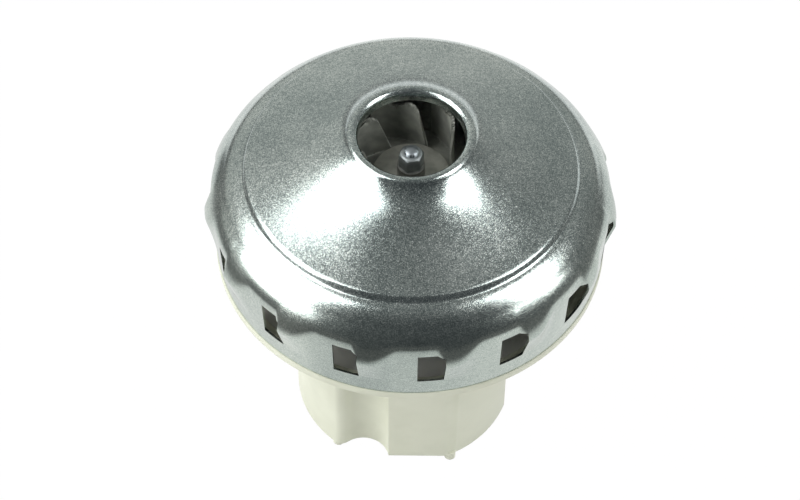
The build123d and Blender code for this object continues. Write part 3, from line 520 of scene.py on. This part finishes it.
# Inner pieces, out of sight in the closed housing: they keep their CAD form and get the finish
# of their material.
copper = Finish("copper_winding", metallic=0.9)
copper.dress(
    copper.noise(900.0, 2.0, (1.0, 1.0, 0.1)),
    dark=(0.3, (0.36, 0.13, 0.05)),
    pale=(0.7, (0.62, 0.28, 0.13)),
    rough=(0.2, 0.25),
    relief=(0.3, 0.00006),
)
iron = Finish("lamination_iron", metallic=0.8)
iron.dress(
    iron.noise(2000.0, 1.0, (0.05, 0.05, 1.0)),
    dark=(0.3, (0.16, 0.16, 0.165)),
    pale=(0.7, (0.34, 0.34, 0.35)),
    rough=(0.2, 0.4),
    relief=(0.3, 0.00006),
)
board = Finish("pressed_board")
board.dress(
    board.noise(600.0, 3.0, (1.0, 0.2, 1.0)),
    dark=(0.3, (0.52, 0.42, 0.26)),
    pale=(0.7, (0.72, 0.62, 0.44)),
    rough=(0.2, 0.55),
    relief=(0.2, 0.00005),
)
black = Finish("black_rubber_and_carbon", specular=0.35)
black.dress(
    black.noise(300.0, 3.0),
    dark=(0.3, (0.025, 0.025, 0.027)),
    pale=(0.7, (0.06, 0.06, 0.06)),
    rough=(0.25, 0.5),
    relief=(0.2, 0.00005),
)
inner_finish = {
    "copper_wire": copper,
    "commutator_copper": copper,
    "lamination_steel": iron,
    "insulation": board,
    "carbon": black,
    "bearing_rubber": black,
    "brass_strip": brass,
    "spring_steel": ground,
    "bearing_steel": ground,
    "black_steel": blacked,
    "zinc_steel": zinc,
    "grey_plastic": grey,
    "dark_plastic": dark,
}
for entry in frame["record"]["subparts"]:
    node = frame["nodes"][entry["node"]]
    finish = inner_finish.get(entry["material_slot"])
    if finish:
        node.data.materials.clear()
        node.data.materials.append(finish.material)

# Floor and light: a white sheet under the motor that fades in reflections towards its edges, a
# pale room that darkens overhead, and soft boxes at the left and the right, which show as two
# bright patches on the dome.
FLOOR_SIZE, FLOOR_DROP = 6.0, 0.0002
SHEET_SHIFT, SHEET_SQUEEZE = (-0.1, -0.3, 0.0), (1.0, 0.75, 1.0)
WHITE_REACH, FADED_REACH, FADED_SHARE = 0.4, 0.56, 0.16
bpy.ops.mesh.primitive_plane_add(size=FLOOR_SIZE, location=(0, 0, -FLOOR_DROP))
floor = bpy.context.object
floor.name = "white_floor"
paper = Finish("white_paper", specular=0.1)
paper_cloud = paper.noise(3.0, 2.0)
ray = paper.node("ShaderNodeLightPath")
seen = ray["Is Camera Ray"] + ray["Is Glossy Ray"] + ray["Is Transmission Ray"]
seen = seen.sum_with("MINIMUM", seen, 1.0)
sheet_place = paper.node(
    "ShaderNodeMapping",
    {},
    {"Vector": paper.place, "Location": SHEET_SHIFT, "Scale": SHEET_SQUEEZE},
)["Vector"]
from_middle = paper.node(
    "ShaderNodeVectorMath", {"operation": "LENGTH"}, {"Vector": sheet_place}
)["Value"]
mirrored = paper.node(
    "ShaderNodeMapRange",
    {"interpolation_type": "SMOOTHSTEP"},
    {
        "Value": from_middle,
        "From Min": WHITE_REACH,
        "From Max": FADED_REACH,
        "To Min": 1.0,
        "To Max": FADED_SHARE,
    },
)["Result"]
shine = seen.sum_with("MAXIMUM", ray["Is Camera Ray"], seen * mirrored)
paper.feed(
    Base_Color=paper.colours(
        (1 - seen) * (paper_cloud * 0.1 + 0.9),
        (0.0, (0.0, 0.0, 0.0)),
        (1.0, (0.98, 0.98, 0.975)),
    ),
    Roughness=0.9,
    Emission_Color=shine,
    Emission_Strength=1.0,
)
floor.data.materials.append(paper.material)

world = bpy.data.worlds.new("pale_room")
bpy.context.scene.world = world
world.use_nodes = True
sky = Nodes(world.node_tree)
sky_place = sky.node("ShaderNodeTexCoord")["Generated"]
toward = sky.node("ShaderNodeSeparateXYZ", {}, {"Vector": sky_place})
depth = toward["Y"] * 0.4 - toward["X"] * 0.15 + 0.5
room = sky.colours(
    depth,
    (0.1, (0.085, 0.09, 0.095)),
    (0.5, (0.2, 0.205, 0.205)),
    (0.97, (0.62, 0.62, 0.6)),
)
sky.tree.links.new(room.socket, sky.tree.nodes["Background"].inputs["Color"])

AIM = Vector((0.0, 0.0, 0.12))
LAMP_DISTANCE = 1.5


def soft_box(name, direction, edge, width, height, power):
    """A lamp that faces the dome, with one side along the given edge."""
    lamp = bpy.data.lights.new(name, "AREA")
    lamp.shape = "RECTANGLE"
    lamp.size = width
    lamp.size_y = height
    lamp.energy = power
    holder = bpy.data.objects.new(name, lamp)
    bpy.context.collection.objects.link(holder)
    away = Vector(direction).normalized()
    across = away.cross(Vector(edge)).normalized()
    turn = Matrix((across.cross(away), across, away)).transposed().to_4x4()
    holder.matrix_world = Matrix.Translation(AIM + away * LAMP_DISTANCE) @ turn


soft_box("left_box", (-0.784, -0.158, 0.6), (0.28, -0.38, 0.0), 1.2, 1.8, 31.0)
soft_box("right_box", (0.74, -0.23, 0.635), (0.28, 0.38, 0.0), 0.65, 1.35, 14.0)

# Camera: the photograph's viewpoint, from the front and well above, at about 0.9 m with a
# long lens.
PITCH, ROLL, DISTANCE = math.radians(52.10), math.radians(0.54), 0.915
SENSOR, FOCAL_PIXELS, PICTURE_WIDTH = 36.0, 2452, 800
TARGET = Vector((-0.0037, 0.0, 0.08338))
camera = bpy.data.objects.new("camera", bpy.data.cameras.new("camera"))
bpy.context.collection.objects.link(camera)
camera.data.sensor_width = SENSOR
camera.data.lens = SENSOR * FOCAL_PIXELS / PICTURE_WIDTH
right = Vector((1, 0, 0))
back = Vector((0, -math.cos(PITCH), math.sin(PITCH)))
up = Vector((0, math.sin(PITCH), math.cos(PITCH)))
turned = Matrix((right, up, back)).transposed().to_4x4() @ Matrix.Rotation(ROLL, 4, "Z")
camera.matrix_world = Matrix.Translation(TARGET + back * DISTANCE) @ turned
bpy.context.scene.camera = camera
bpy.context.scene.view_settings.view_transform = "Standard"
